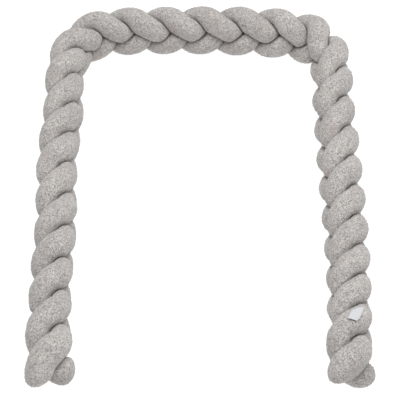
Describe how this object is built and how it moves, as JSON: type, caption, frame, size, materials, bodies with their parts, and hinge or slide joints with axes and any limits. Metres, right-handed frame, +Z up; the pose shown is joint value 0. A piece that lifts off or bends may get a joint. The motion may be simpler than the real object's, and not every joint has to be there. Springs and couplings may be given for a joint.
{
  "type": "braided crib bumper",
  "caption": "Braided crib bumper of stuffed fabric tubes, laid on its edge in a U to pad the head end of a cot.",
  "frame": {"origin": "on the floor, under the middle of the whole U", "axes": "+Z up, across the braid's narrow edge; +Y along the arms towards the closed end of the U"},
  "size_m": [0.608, 0.9022, 0.1106],
  "materials": {
    "boucle": "heathered grey-beige terry knit, matt and softly fuzzy",
    "tape": "plain white woven tape, satin"
  },
  "bodies": {
    "root": {"tube_a": "boucle", "tube_b": "boucle", "tube_c": "boucle", "label": "tape"}
  },
  "joints": []
}
